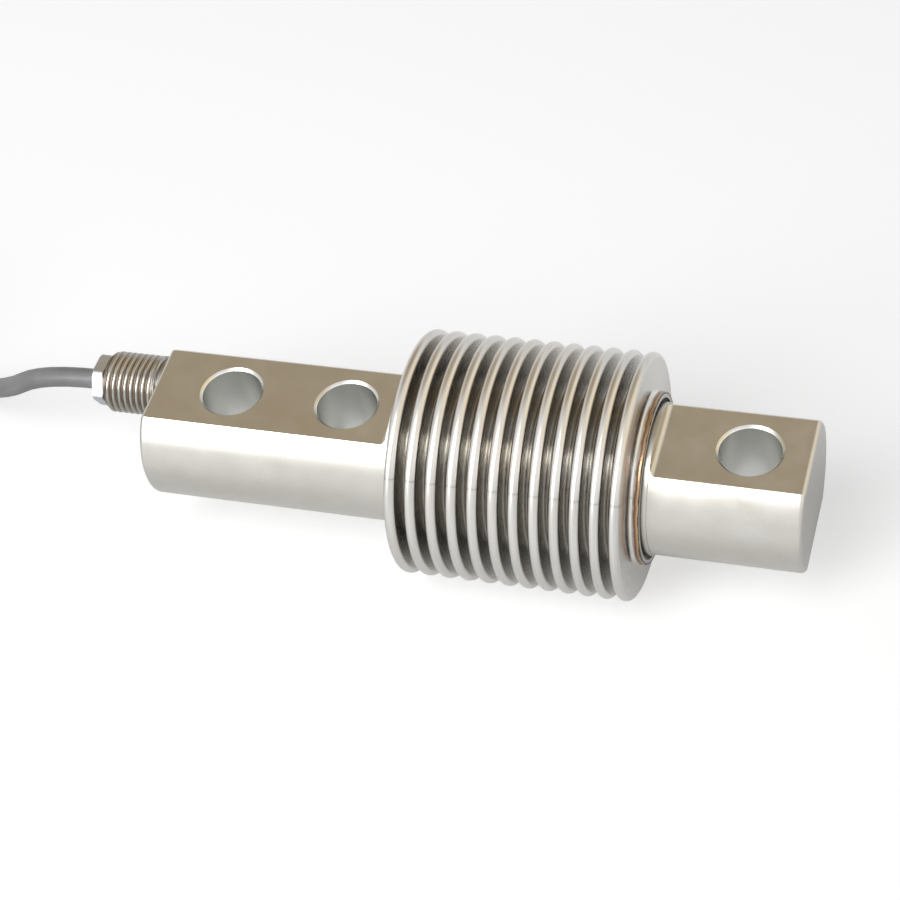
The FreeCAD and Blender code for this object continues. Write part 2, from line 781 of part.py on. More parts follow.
def cable_run():
    diameter = value_of(size["CableDiameter"])
    tube, radii, length = round_tube(cable_route(), diameter)
    print("cable run: length %.1f, radii %s" % (length, ["%.1f" % radius for radius in radii]))
    section = math.pi * diameter ** 2 / 4
    print("cable run: volume %.1f, section times length %.1f" % (tube.Volume, section * length))
    return tube_part("cable_run", [tube])


def coil_centre():
    """The coil's centre: its outermost lowest turn carries on from the run along the surface."""
    end = cable_route()[-1]
    return Vector(end.x - value_of(size["LeadIn"]), end.y - value_of(outer_turn), 0)


def coil_section(gap, inner_gap, floor, outwards):
    """Section of the wound turns beside the coil's axis, grown by a gap on its sides and top.

    The slanted side stands where the upper layers hold fewer turns. The corners start at floor.
    """
    turn = size["CableDiameter"]
    inside = size["InnerTurn"] - turn / 2
    outside = outer_turn + turn / 2
    top = turn * size["TurnsUp"]
    shelf = outside - turn * size["TopTurns"]
    step = top - (shelf - inside)
    slant = math.sqrt(2) - 1
    return [
        ((inside - inner_gap) * outwards, floor),
        ((outside + gap) * outwards, floor),
        ((outside + gap) * outwards, top + gap),
        ((shelf - inner_gap * slant) * outwards, top + gap),
        ((inside - inner_gap) * outwards, step + gap - inner_gap * (1 - slant)),
    ]


def cable_coil():
    """Outer shape of the put-away turns, with the free end's last quarter turn left open."""
    body = new_body("cable_coil")
    turn = size["CableDiameter"]
    turned(body, "turns", coil_section(0, 0, 0, 1), "V_Axis")
    lead = new_sketch(body, "lead_sketch", "YZ_Plane")
    add_circle(lead, outer_turn, turn / 2, turn / 2 - size["Clearance"])
    lead_in = body.newObject("PartDesign::Pad", "lead_in")
    lead_in.Profile = lead
    bind(lead_in, "Length", size["LeadIn"])
    opening = new_sketch(body, "free_end_sketch", "XZ_Plane")
    top = turn * size["TurnsUp"]
    beyond = outer_turn + turn
    add_outline(opening, rectangle(outer_turn - turn / 2, beyond, top - turn, top + turn))
    groove = body.newObject("PartDesign::Groove", "free_end")
    groove.Profile = opening
    groove.ReferenceAxis = (opening, ["V_Axis"])
    bind(groove, "Angle", size["StrippedAngle"])
    waist = new_sketch(body, "waist_sketch", "XZ_Plane")
    add_outline(waist, rectangle(-beyond, -turn, 0, size["TieThickness"] + size["TieClearance"]))
    pocket = body.newObject("PartDesign::Pocket", "tie_waist")
    pocket.Profile = waist
    pocket.SideType = "Symmetric"
    bind(pocket, "Length", size["TieWidth"] + size["TieClearance"] * 2)
    body.Placement.Base = coil_centre()
    return body


def coil_tie():
    """Strap round the turns, on the far side of the coil, with room for the curve of the turns."""
    body = new_body("coil_tie")
    gap = size["TieClearance"]
    wall = size["TieThickness"]
    inside = size["InnerTurn"] - size["CableDiameter"] / 2
    inner_gap = gap * 2 + size["TieWidth"] * size["TieWidth"] / (inside * 8)
    strap = new_sketch(body, "strap_sketch", "XZ_Plane")
    add_outline(strap, coil_section(gap + wall, inner_gap + wall, 0, -1))
    pad = body.newObject("PartDesign::Pad", "strap")
    pad.Profile = strap
    pad.SideType = "Symmetric"
    bind(pad, "Length", size["TieWidth"])
    hollow = new_sketch(body, "hollow_sketch", "XZ_Plane")
    add_outline(hollow, coil_section(gap, inner_gap, wall, -1))
    cut_through(body, hollow, "hollow")
    body.Placement.Base = coil_centre()
    return body


def stripped_cores():
    """Cores and drain of the stripped free end, lying side by side on the turn below them."""
    diameter = value_of(size["CoreWireDiameter"])
    turn = value_of(size["CableDiameter"])
    shelf = turn * (value_of(size["TurnsUp"]) - 1)
    level = shelf + turn / 2
    rest = shelf + diameter / 2 + value_of(size["Clearance"])
    centre = coil_centre()
    names = ["core_red", "core_black", "core_green", "core_white", "screen_drain"]
    for number, name in enumerate(names):
        radius = value_of(outer_turn) + (number - 1.5) * value_of(size["CorePitch"])
        stations = [(0, level), (10, level), (24, rest), (38, rest), (52, rest), (62 - number, rest)]
        points = []
        for angle, height in stations:
            spoke = FreeCAD.Rotation(Vector(0, 0, 1), angle).multVec(Vector(radius, 0, height))
            points.append(centre + spoke)
        core, radii, length = round_tube(points, diameter)
        print("%s: length %.1f, least radius %.1f" % (name, length, min(radii)))
        tube_part(name, [core])


def check_and_write():
    """Stops on any failed feature or bad shape, then writes one file for each sub-part."""
    doc.recompute()
    failed = [thing.Name for thing in doc.Objects if "Invalid" in thing.State or "Error" in thing.State]
    for thing in parts:
        shape = thing.Shape
        if shape.isNull() or not shape.isValid() or not shape.Solids:
            failed.append(thing.Label)
    if failed:
        raise RuntimeError("failed: " + ", ".join(failed))
    os.makedirs("parts", exist_ok=True)
    for thing in parts:
        thing.Shape.exportStep("parts/%s.step" % thing.Label)
        print("%-18s %d solid, %.1f mm3" % (thing.Label, len(thing.Shape.Solids), thing.Shape.Volume))


def build():
    spring_element()
    bellows()
    weld_ring("weld_ring_fixed", fixed_ring)
    weld_ring("weld_ring_load", bellows_end)
    for name, side, upward in [
        ("gauge_top_fixed", -1, True),
        ("gauge_top_load", 1, True),
        ("gauge_bottom_fixed", -1, False),
        ("gauge_bottom_load", 1, False),
    ]:
        strain_gauge(name, side, upward)
    circuit_board("terminal_board", size["BeamWidth"] / 2)
    circuit_board("compensation_board", -size["BeamWidth"] / 2 - size["BoardThickness"])
    trimming_resistors()
    gland_nipple()
    gland_ring()
    gland_insert("washer_inner", chamber_floor, seal_start)
    gland_insert("gland_seal", seal_start, seal_end)
    gland_insert("washer_outer", seal_end, shank_start)
    gland_screw()
    potting()
    cable_in_channel()
    lead_wires()
    bridge_wires()
    cable_run()
    cable_coil()
    coil_tie()
    stripped_cores()
    check_and_write()


build()
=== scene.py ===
import math

import bmesh
import bpy
from mathutils import Matrix, Quaternion, Vector


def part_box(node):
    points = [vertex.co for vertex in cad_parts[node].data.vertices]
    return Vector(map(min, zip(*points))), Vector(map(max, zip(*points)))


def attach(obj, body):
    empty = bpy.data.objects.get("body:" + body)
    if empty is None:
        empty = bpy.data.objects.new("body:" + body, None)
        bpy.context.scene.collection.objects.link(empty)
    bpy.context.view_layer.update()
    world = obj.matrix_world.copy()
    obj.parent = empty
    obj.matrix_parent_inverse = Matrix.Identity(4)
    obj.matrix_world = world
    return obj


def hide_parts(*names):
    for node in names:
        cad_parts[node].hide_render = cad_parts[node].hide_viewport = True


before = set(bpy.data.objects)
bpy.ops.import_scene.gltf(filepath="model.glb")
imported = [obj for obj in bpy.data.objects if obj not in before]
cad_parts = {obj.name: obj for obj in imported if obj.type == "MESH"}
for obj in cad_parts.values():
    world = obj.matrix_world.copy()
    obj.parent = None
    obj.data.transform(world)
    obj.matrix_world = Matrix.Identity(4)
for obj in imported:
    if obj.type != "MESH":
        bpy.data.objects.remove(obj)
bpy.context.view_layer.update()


# The bar is one piece of stainless steel, turned, milled flat at both ends, drilled for its bolts and
# bead blasted, which leaves a fine satin grain. Its bolt holes stay brighter, and its milled middle
# is hidden in the bellows.
AXIS_HEIGHT = (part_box("bellows")[0].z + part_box("bellows")[1].z) / 2
SHARP_EDGE = math.radians(28)
TOUCHING = 0.000001
BAR_STEEL = (0.62, 0.605, 0.57, 1)
BAR_CLOUD = (0.92, 0.91, 0.885)
BORE_STEEL = (0.76, 0.77, 0.74, 1)
BORE_RADIUS = 0.00625
BORE_RIM = 0.0001
BORE_PLACES = (-0.04223, -0.01723, 0.06563)


def plug_in(tree, plug, value):
    """Links another node's output to an input, or sets the input to a plain value."""
    if isinstance(value, bpy.types.NodeSocket):
        tree.links.new(value, plug)
    else:
        plug.default_value = value


def node(tree, kind, options=None, **inputs):
    """Adds a node. Size_X gives its input called Size X, and _1 gives its input number 1."""
    made = tree.nodes.new(kind)
    for option, value in (options or {}).items():
        setattr(made, option, value)
    for name, value in inputs.items():
        plug = made.inputs[int(name[1:])] if name[0] == "_" else made.inputs[name.replace("_", " ")]
        plug_in(tree, plug, value)
    return made


def math_node(tree, operation, *values):
    """The result of one sum."""
    made = node(tree, "ShaderNodeMath", {"operation": operation})
    for plug, value in zip(made.inputs, values):
        plug_in(tree, plug, value)
    return made.outputs[0]


def hypotenuse(tree, across, up):
    """The distance from the axis of a point this far across and up from it."""
    squares = [math_node(tree, "MULTIPLY", side, side) for side in (across, up)]
    return math_node(tree, "SQRT", math_node(tree, "ADD", *squares))


def spread(tree, value, start, end, low=0.0, high=1.0, soft=False):
    """A value that goes from low at start to high at end and stays level past them."""
    options = {"interpolation_type": "SMOOTHSTEP" if soft else "LINEAR"}
    made = node(
        tree, "ShaderNodeMapRange", options,
        Value=value, From_Min=start, From_Max=end, To_Min=low, To_Max=high,
    )
    return made.outputs["Result"]


def between(tree, pattern, low, high):
    """A noise pattern's values spread from low to high."""
    return spread(tree, pattern, 0.25, 0.75, low, high)


def ramp(tree, factor, *stops):
    """A colour ramp from (place, colour) stops."""
    made = node(tree, "ShaderNodeValToRGB", Fac=factor)
    points = made.color_ramp.elements
    while len(points) < len(stops):
        points.new(0.5)
    for point, (place, colour) in zip(points, stops):
        point.position = place
        point.color = colour if len(colour) == 4 else (*colour, 1)
    return made.outputs["Color"]


def grey(level):
    return (level, level, level, 1)


def mixed(tree, kind, factor, first, second):
    """Two colours mixed in the way that kind names."""
    options = {"data_type": "RGBA", "blend_type": kind}
    return node(tree, "ShaderNodeMix", options, _0=factor, _6=first, _7=second).outputs[2]


def varied(tree, colour, pattern, dark, light=grey(1.0), start=0.3, end=0.7):
    """A colour multiplied by dark where the pattern is under start, and by light past end."""
    return mixed(tree, "MULTIPLY", 1.0, colour, ramp(tree, pattern, (start, dark), (end, light)))


def noise(tree, place, scale, detail=3.0):
    made = node(tree, "ShaderNodeTexNoise", Vector=place, Scale=scale, Detail=detail, Roughness=0.55)
    return made.outputs["Fac"]


def new_finish(name, metallic, **constants):
    """A material with its shader, and the piece's own coordinates."""
    material = bpy.data.materials.new(name)
    material.use_nodes = True
    tree = material.node_tree
    shader = tree.nodes["Principled BSDF"]
    shader.inputs["Metallic"].default_value = metallic
    for socket, value in constants.items():
        shader.inputs[socket.replace("_", " ")].default_value = value
    place = node(tree, "ShaderNodeTexCoord").outputs["Object"]
    return material, tree, shader, place


def dress(tree, shader, colour, roughness, height, depth):
    """Gives the shader its colour, its roughness and a bump of that depth in metres."""
    bump = node(tree, "ShaderNodeBump", Height=height, Distance=depth, Strength=1.0)
    plug_in(tree, shader.inputs["Normal"], bump.outputs["Normal"])
    plug_in(tree, shader.inputs["Base Color"], colour)
    plug_in(tree, shader.inputs["Roughness"], roughness)


def blasted_steel():
    """Satin steel with faint clouds, a fine grain and small pits, brighter in the bolt holes."""
    material, tree, shader, place = new_finish("blasted_steel", metallic=1.0)
    clouds = noise(tree, place, scale=150, detail=4)
    grain = noise(tree, place, scale=5200, detail=2)
    pits = noise(tree, place, scale=1500, detail=3)
    toned = varied(tree, BAR_STEEL, clouds, BAR_CLOUD)
    spot = node(tree, "ShaderNodeSeparateXYZ", Vector=place).outputs
    nearest = 1.0
    for bore_x in BORE_PLACES:
        beside = math_node(tree, "SUBTRACT", spot["X"], bore_x)
        nearest = math_node(tree, "MINIMUM", nearest, hypotenuse(tree, beside, spot["Y"]))
    in_bore = spread(tree, nearest, BORE_RADIUS + 2 * BORE_RIM, BORE_RADIUS + BORE_RIM)
    drilled = mixed(tree, "MIX", in_bore, toned, BORE_STEEL)
    speckled = varied(tree, drilled, grain, grey(0.94))
    grain_height = math_node(tree, "MULTIPLY", grain, 0.6)
    height = math_node(tree, "ADD", grain_height, math_node(tree, "MULTIPLY", pits, 0.8))
    dress(tree, shader, speckled, between(tree, clouds, 0.27, 0.35), height, depth=0.0000025)
    return material


def show(name, data):
    """A new object in the scene for a mesh, curve, lamp or camera."""
    shown = bpy.data.objects.new(name, data)
    bpy.context.scene.collection.objects.link(shown)
    return shown


def smooth_with_edges(mesh):
    for face in mesh.polygons:
        face.use_smooth = True
    mesh.set_sharp_from_angle(angle=SHARP_EDGE)


def merged_copy(cad_node, name):
    """A CAD node's form with its loose triangles joined, smooth between its machined edges."""
    shape = bmesh.new()
    shape.from_mesh(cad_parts[cad_node].data)
    bmesh.ops.remove_doubles(shape, verts=shape.verts, dist=TOUCHING)
    mesh = bpy.data.meshes.new(name)
    shape.to_mesh(mesh)
    shape.free()
    mesh.materials.clear()
    if "custom_normal" in mesh.attributes:
        mesh.attributes.remove(mesh.attributes["custom_normal"])
    smooth_with_edges(mesh)
    piece = show(name, mesh)
    flat_shading = piece.modifiers.new("flat faces", "WEIGHTED_NORMAL")
    flat_shading.keep_sharp = True
    return piece


bar = merged_copy("spring_element", "machined_bar")
bar.data.materials.append(blasted_steel())
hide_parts("spring_element")
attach(bar, "root")


# Four foil strain gauges are glued over the thin webs of the beam, under a clear cover.
# Their constantan grids run along the bar.
FOIL = (0.62, 0.42, 0.18, 1)
CARRIER = (0.75, 0.55, 0.2, 1)
GRID_PITCH = 0.0004


def gauge_foil():
    """Etched metal lines on an amber carrier."""
    material, tree, shader, place = new_finish("gauge_foil", metallic=0.0, Coat_Weight=0.6)
    across = node(tree, "ShaderNodeSeparateXYZ", Vector=place).outputs["Y"]
    lines = math_node(tree, "SINE", math_node(tree, "MULTIPLY", across, 2 * math.pi / GRID_PITCH))
    colour = ramp(tree, lines, (0.45, CARRIER), (0.55, FOIL))
    dress(tree, shader, colour, roughness=0.35, height=lines, depth=0.00002)
    return material


def refinish(cad_node, finish):
    """Gives a finish to a CAD node that is shown as it is."""
    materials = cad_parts[cad_node].data.materials
    materials.clear()
    materials.append(finish)


foil = gauge_foil()
for place_on_beam in ("top_fixed", "top_load", "bottom_fixed", "bottom_load"):
    refinish("gauge_" + place_on_beam, foil)


# Two small glass-fibre boards on the beam's sides carry the wiring pads and three trimming resistors.
# Wires with pale sleeves come in from the cable through a resin seal, and enamelled ones go to the
# gauges.
BOARD_GREEN = (0.05, 0.22, 0.1, 1)
TINNED_PAD = (0.7, 0.7, 0.68, 1)
RESISTOR_BLUE = (0.12, 0.22, 0.42, 1)
SLEEVE = (0.78, 0.77, 0.72, 1)
ENAMEL = (0.55, 0.22, 0.08, 1)
RESIN = (0.5, 0.42, 0.28, 1)


def laminate():
    """Green board with a fine weave and round tinned pads."""
    material, tree, shader, place = new_finish("board_laminate", metallic=0.0)
    weave = noise(tree, place, scale=2500)
    pads = node(tree, "ShaderNodeTexVoronoi", Vector=place, Scale=500).outputs["Distance"]
    colour = ramp(tree, pads, (0.2, TINNED_PAD), (0.22, BOARD_GREEN))
    dress(tree, shader, colour, between(tree, weave, 0.35, 0.5), height=weave, depth=0.00001)
    return material


def plain_plastic(name, colour, rough, scale, depth, metallic=0.0):
    """Moulded or extruded plastic with a slight change of tone and a fine grain."""
    material, tree, shader, place = new_finish(name, metallic)
    grain = noise(tree, place, scale)
    tone = noise(tree, place, scale / 12)
    shaded = varied(tree, colour, tone, grey(0.9))
    dress(tree, shader, shaded, between(tree, grain, rough - 0.05, rough + 0.08), grain, depth)
    return material


board_finish = laminate()
inner_finishes = {
    "terminal_board": board_finish,
    "compensation_board": board_finish,
    "trim_resistors": plain_plastic("resistor_blue", RESISTOR_BLUE, rough=0.3, scale=1500, depth=0.000005),
    "lead_wires": plain_plastic("wire_sleeve", SLEEVE, rough=0.45, scale=2000, depth=0.000005),
    "bridge_wires": plain_plastic(
        "wire_enamel", ENAMEL, rough=0.3, scale=3000, depth=0.000003, metallic=1.0
    ),
    "channel_potting": plain_plastic("potting_resin", RESIN, rough=0.35, scale=900, depth=0.00001),
}
for name, finish in inner_finishes.items():
    refinish(name, finish)


# The bellows is a seam-welded tube of thin stainless sheet, formed into twelve rounded convolutions
# with a plain cuff at each end. Its lengthwise weld shows as a faint line across every crest. The sheet
# is painted darker towards the roots between the crests, as painted shade, which is left off near the
# cuffs.
CONVOLUTIONS = 12
SHEET = 0.0003
CUFF = 0.00135
BELLOWS_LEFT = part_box("bellows")[0].x + CUFF
BELLOWS_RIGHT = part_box("bellows")[1].x - CUFF
BELLOWS_LENGTH = BELLOWS_RIGHT - BELLOWS_LEFT
PITCH = BELLOWS_LENGTH / CONVOLUTIONS
CREST_RADIUS = (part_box("bellows")[1].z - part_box("bellows")[0].z) / 2
CREST_BEND = 0.00115
CREST_STEPS = 12
ROOT_BEND = PITCH / 2 - CREST_BEND
ROOT_STEPS = 4
ROOT_RADIUS = CREST_RADIUS - 0.00815
BELLOWS_SEGMENTS = 144
LEAN = 0.0005
UPRIGHT_AT = 0.2
SEAM_ANGLE = math.radians(144.5)
SEAM_WANDER = 0.012
SEAM_FOCUS = 40
LINE_DRIFT = 0.0004
BELLOWS_STEEL = (0.65, 0.64, 0.62, 1)
BELLOWS_CLOUD = (1.0, 0.98, 0.95)
ROOT_SHINE = 0.48
ROOT_PAINTED_SHADE = (0.82, 0.81, 0.79)
ROOT_SHADE_FADES = 0.0018
ROOT_SHADE_GONE = 0.0012


def arc(centre_x, centre_r, radius, start, end, steps):
    """Points of a section's arc, angles in degrees from the bar's axis."""
    points = []
    for step in range(steps + 1):
        angle = math.radians(start + (end - start) * step / steps)
        points.append((centre_x + radius * math.cos(angle), centre_r + radius * math.sin(angle)))
    return points


def convolution_section():
    """One convolution from root to root, as (along, radius) points."""
    low = ROOT_RADIUS + ROOT_BEND
    high = CREST_RADIUS - CREST_BEND
    points = arc(0, low, ROOT_BEND, 270, 360, ROOT_STEPS)
    points += arc(PITCH / 2, high, CREST_BEND, 180, 0, CREST_STEPS)
    points += arc(PITCH, low, ROOT_BEND, 180, 270, ROOT_STEPS)
    return points


def form_tree(name, sizes):
    """A new node tree with these named inputs and one form that comes out."""
    tree = bpy.data.node_groups.new(name, "GeometryNodeTree")
    for size, kind in sizes:
        tree.interface.new_socket(size, in_out="INPUT", socket_type="NodeSocket" + kind)
    tree.interface.new_socket("Form", in_out="OUTPUT", socket_type="NodeSocketGeometry")
    return tree, tree.nodes.new("NodeGroupInput").outputs


def point_grid(tree, rows, segments):
    """A flat grid with one row for each ring, and each point's row and share of a turn."""
    last_row = math_node(tree, "SUBTRACT", rows, 1)
    columns = math_node(tree, "ADD", segments, 1)
    grid = node(
        tree, "GeometryNodeMeshGrid",
        Size_X=last_row, Size_Y=segments, Vertices_X=rows, Vertices_Y=columns,
    ).outputs["Mesh"]
    position = node(tree, "GeometryNodeInputPosition").outputs[0]
    spot = node(tree, "ShaderNodeSeparateXYZ", Vector=position).outputs
    half = math_node(tree, "DIVIDE", last_row, 2)
    row = math_node(tree, "ROUND", math_node(tree, "ADD", spot["X"], half))
    return grid, row, math_node(tree, "DIVIDE", spot["Y"], segments)


def finished_form(tree, given, grid, along, radius, angle):
    """Ends a tree: the grid's points go round an axis along X, and the form gets its finish."""
    turned = node(
        tree, "ShaderNodeCombineXYZ",
        X=along,
        Y=math_node(tree, "MULTIPLY", radius, math_node(tree, "COSINE", angle)),
        Z=math_node(tree, "MULTIPLY", radius, math_node(tree, "SINE", angle)),
    ).outputs[0]
    centred = node(tree, "ShaderNodeVectorMath", {"operation": "ADD"}, _0=turned, _1=given["Centre"])
    placed = node(tree, "GeometryNodeSetPosition", Geometry=grid, Position=centred.outputs[0]).outputs[0]
    joined = node(tree, "GeometryNodeMergeByDistance", Geometry=placed, Distance=TOUCHING).outputs[0]
    smooth = node(tree, "GeometryNodeSetShadeSmooth", Geometry=joined).outputs[0]
    real = node(tree, "GeometryNodeRealizeInstances", Geometry=smooth).outputs[0]
    finished = node(tree, "GeometryNodeSetMaterial", Geometry=real, Material=given["Finish"]).outputs[0]
    tree.links.new(finished, tree.nodes.new("NodeGroupOutput").inputs["Form"])
    return tree


def turned_form_tree():
    """Turns a section about an axis along X and repeats it along that axis.

    The section is a row of points, with X along, Z as the radius and Y as the share of the ripple.
    """
    tree, given = form_tree("Turned form", (
        ("Section", "Geometry"),
        ("Repeats", "Int"),
        ("Pitch", "Float"),
        ("Segments", "Int"),
        ("Ripples", "Int"),
        ("Ripple Depth", "Float"),
        ("Centre", "Vector"),
        ("Finish", "Material"),
    ))
    counted = node(tree, "GeometryNodeAttributeDomainSize", Geometry=given["Section"])
    points = counted.outputs["Point Count"]
    rows = math_node(tree, "MULTIPLY", points, given["Repeats"])
    grid, row, turns = point_grid(tree, rows, given["Segments"])
    angle = math_node(tree, "MULTIPLY", turns, 2 * math.pi)
    repeat = math_node(tree, "FLOOR", math_node(tree, "DIVIDE", math_node(tree, "ADD", row, 0.5), points))
    index = math_node(tree, "SUBTRACT", row, math_node(tree, "MULTIPLY", repeat, points))
    section = node(
        tree, "GeometryNodeSampleIndex", {"data_type": "FLOAT_VECTOR", "domain": "POINT"},
        Geometry=given["Section"],
        Index=math_node(tree, "ROUND", index),
        Value=node(tree, "GeometryNodeInputPosition").outputs[0],
    )
    corner = node(tree, "ShaderNodeSeparateXYZ", Vector=section.outputs["Value"]).outputs
    wave = math_node(tree, "SINE", math_node(tree, "MULTIPLY", angle, given["Ripples"]))
    full_ripple = math_node(tree, "MULTIPLY", wave, given["Ripple Depth"])
    ripple = math_node(tree, "MULTIPLY", full_ripple, corner["Y"])
    radius = math_node(tree, "ADD", corner["Z"], ripple)
    moved = math_node(tree, "MULTIPLY", repeat, given["Pitch"])
    along = math_node(tree, "ADD", corner["X"], moved)
    return finished_form(tree, given, grid, along, radius, angle)


turned_form = turned_form_tree()


def with_nodes(name, mesh, tree, settings):
    """The plain mesh that a node tree makes from a mesh, with its inputs set by their names."""
    worked = show(name, mesh)
    modifier = worked.modifiers.new(tree.name, "NODES")
    modifier.node_group = tree
    for socket in tree.interface.items_tree:
        if socket.in_out == "INPUT" and socket.name in settings:
            modifier[socket.identifier] = settings[socket.name]
    evaluated = worked.evaluated_get(bpy.context.evaluated_depsgraph_get())
    result = bpy.data.meshes.new_from_object(evaluated)
    bpy.data.objects.remove(worked)
    result.name = name
    return result


def turned_mesh(name, section, finish, centre, segments, repeats=1, pitch=0.0, ripples=0, ripple_depth=0.0):
    """(along, radius) points turned round an axis. A point's third value is its share of the ripple."""
    row = bpy.data.meshes.new(name + "_section")
    row.from_pydata([(p[0], p[2] if len(p) > 2 else 0.0, p[1]) for p in section], [], [])
    settings = {
        "Repeats": repeats,
        "Pitch": pitch,
        "Segments": segments,
        "Ripples": ripples,
        "Ripple Depth": ripple_depth,
        "Centre": centre,
        "Finish": finish,
    }
    return with_nodes(name, row, turned_form, settings)


def round_place(tree, place, axis_y=0.0):
    """Sockets for the place along a turned piece, its radius and its angle."""
    spot = node(tree, "ShaderNodeSeparateXYZ", Vector=place).outputs
    across = math_node(tree, "SUBTRACT", spot["Y"], axis_y)
    up = math_node(tree, "SUBTRACT", spot["Z"], AXIS_HEIGHT)
    return spot["X"], hypotenuse(tree, across, up), math_node(tree, "ARCTAN2", up, across)


def lathe_lines(tree, along, radius, angle, scale):
    """Fine uneven lines round a turned or rolled surface, which change slowly along their way."""
    drift = math_node(tree, "MULTIPLY", angle, LINE_DRIFT)
    place = node(tree, "ShaderNodeCombineXYZ", X=along, Y=radius, Z=drift).outputs[0]
    return noise(tree, place, scale, detail=2)


def wander(tree, place, scale, detail, amount):
    """Noise about zero, for an edge that isn't quite even."""
    about_zero = math_node(tree, "SUBTRACT", noise(tree, place, scale, detail), 0.5)
    return math_node(tree, "MULTIPLY", about_zero, amount)


def rolled_sheet():
    """Rolled sheet with fine lines and a welded seam, painted darker as shade and shinier towards the
    roots.
    """
    material, tree, shader, place = new_finish("bellows_sheet", metallic=1.0)
    along, radius, angle = round_place(tree, place)
    lines = lathe_lines(tree, along, radius, angle, scale=3200)
    clouds = noise(tree, place, scale=90, detail=3)
    straight = math_node(tree, "SUBTRACT", angle, SEAM_ANGLE)
    uneven = math_node(tree, "ADD", straight, wander(tree, place, 900, 3, SEAM_WANDER))
    from_seam = math_node(tree, "MULTIPLY", math_node(tree, "ABSOLUTE", uneven), SEAM_FOCUS)
    seam = ramp(tree, from_seam, (0.10, grey(0.72)), (0.32, grey(0.93)), (0.95, grey(1.0)))
    toned = varied(tree, BELLOWS_STEEL, clouds, BELLOWS_CLOUD, start=0.35, end=0.65)
    scored = varied(tree, toned, lines, grey(0.9), end=0.6)
    outwards = spread(tree, radius, ROOT_RADIUS, CREST_RADIUS)
    # Painted shade: the sheet's colour darkens towards the roots between the crests, fading out near the
    # cuffs.
    painted_shade = ramp(tree, outwards, (0.1, ROOT_PAINTED_SHADE), (0.85, grey(1.0)))
    off_middle = math_node(tree, "SUBTRACT", along, (BELLOWS_LEFT + BELLOWS_RIGHT) / 2)
    from_middle = math_node(tree, "ABSOLUTE", off_middle)
    half = BELLOWS_LENGTH / 2
    shaded_part = spread(tree, from_middle, half - ROOT_SHADE_FADES, half - ROOT_SHADE_GONE, low=1.0, high=0.0)
    with_painted_shade = mixed(tree, "MULTIPLY", shaded_part, scored, painted_shade)
    colour = mixed(tree, "MULTIPLY", 1.0, with_painted_shade, seam)
    shine = spread(tree, radius, ROOT_RADIUS, CREST_RADIUS, low=ROOT_SHINE, high=1.0)
    roughness = math_node(tree, "MULTIPLY", between(tree, lines, 0.27, 0.34), shine)
    dress(tree, shader, colour, roughness, height=lines, depth=0.0000012)
    return material


def rim_at(shape, x):
    """The open edges of a shell that lie at x."""
    return [edge for edge in shape.edges if edge.is_boundary and abs(edge.verts[0].co.x - x) < TOUCHING]


bellows_mesh = turned_mesh(
    "formed_bellows", convolution_section(), rolled_sheet(), (BELLOWS_LEFT, 0, AXIS_HEIGHT),
    BELLOWS_SEGMENTS, CONVOLUTIONS, PITCH,
)
shell = bmesh.new()
shell.from_mesh(bellows_mesh)
bmesh.ops.recalc_face_normals(shell, faces=shell.faces)
# The crests lean a little along the axis on their -Y side, as a formed bellows is never quite even.
for point in shell.verts:
    radius = math.hypot(point.co.y, point.co.z - AXIS_HEIGHT)
    share = (point.co.x - BELLOWS_LEFT) / BELLOWS_LENGTH
    out = (radius - ROOT_RADIUS) / (CREST_RADIUS - ROOT_RADIUS)
    near = (1 - point.co.y / CREST_RADIUS) / 2
    point.co.x += LEAN * math.sin(math.pi * (share - UPRIGHT_AT) / (1 - UPRIGHT_AT)) * near * out
for rim_x, step in ((BELLOWS_LEFT, -CUFF), (BELLOWS_RIGHT, CUFF)):
    drawn = bmesh.ops.extrude_edge_only(shell, edges=rim_at(shell, rim_x))["geom"]
    for point in (part for part in drawn if isinstance(part, bmesh.types.BMVert)):
        point.co.x += step
bmesh.ops.recalc_face_normals(shell, faces=shell.faces)
outward = 0.0
for face in shell.faces:
    middle = face.calc_center_median()
    outward += face.normal.dot(Vector((0, middle.y, middle.z - AXIS_HEIGHT)))
if outward < 0:
    bmesh.ops.reverse_faces(shell, faces=shell.faces)
shell.to_mesh(bellows_mesh)
shell.free()
bellows = show("formed_bellows", bellows_mesh)
wall = bellows.modifiers.new("sheet", "SOLIDIFY")
wall.thickness = SHEET
wall.offset = -1
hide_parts("bellows")
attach(bellows, "root")


# A narrow backing ring lies over each cuff, and the weld runs round its outer edge with fine ripples.
# The heat has left gold, brown and reddish colours beside the weld. The ring's face there is painted
# near-black as shade.
RING_RADIUS = (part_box("weld_ring_load")[1].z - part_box("weld_ring_load")[0].z) / 2
RING_WALL = 0.00045
RING_SEGMENTS = 240
BROKEN_EDGE = 0.0001
WELD_BEAD = 0.00028
WELD_RIPPLES = 90
RIPPLE_DEPTH = 0.00002
TINT_REACH = 0.00135
TINT_WANDER = 0.0011
FACE_SHADE_STARTS = 0.00004
FACE_SHADE_FULL = 0.0002
RING_STEEL = (0.68, 0.65, 0.6, 1)
GOLD = (0.50, 0.34, 0.19)
BRONZE = (0.36, 0.24, 0.14)
RED_BROWN = (0.28, 0.12, 0.08)
VIOLET = (0.07, 0.05, 0.06)
WELD_FACE_SHADE = (0.035, 0.032, 0.032, 1)


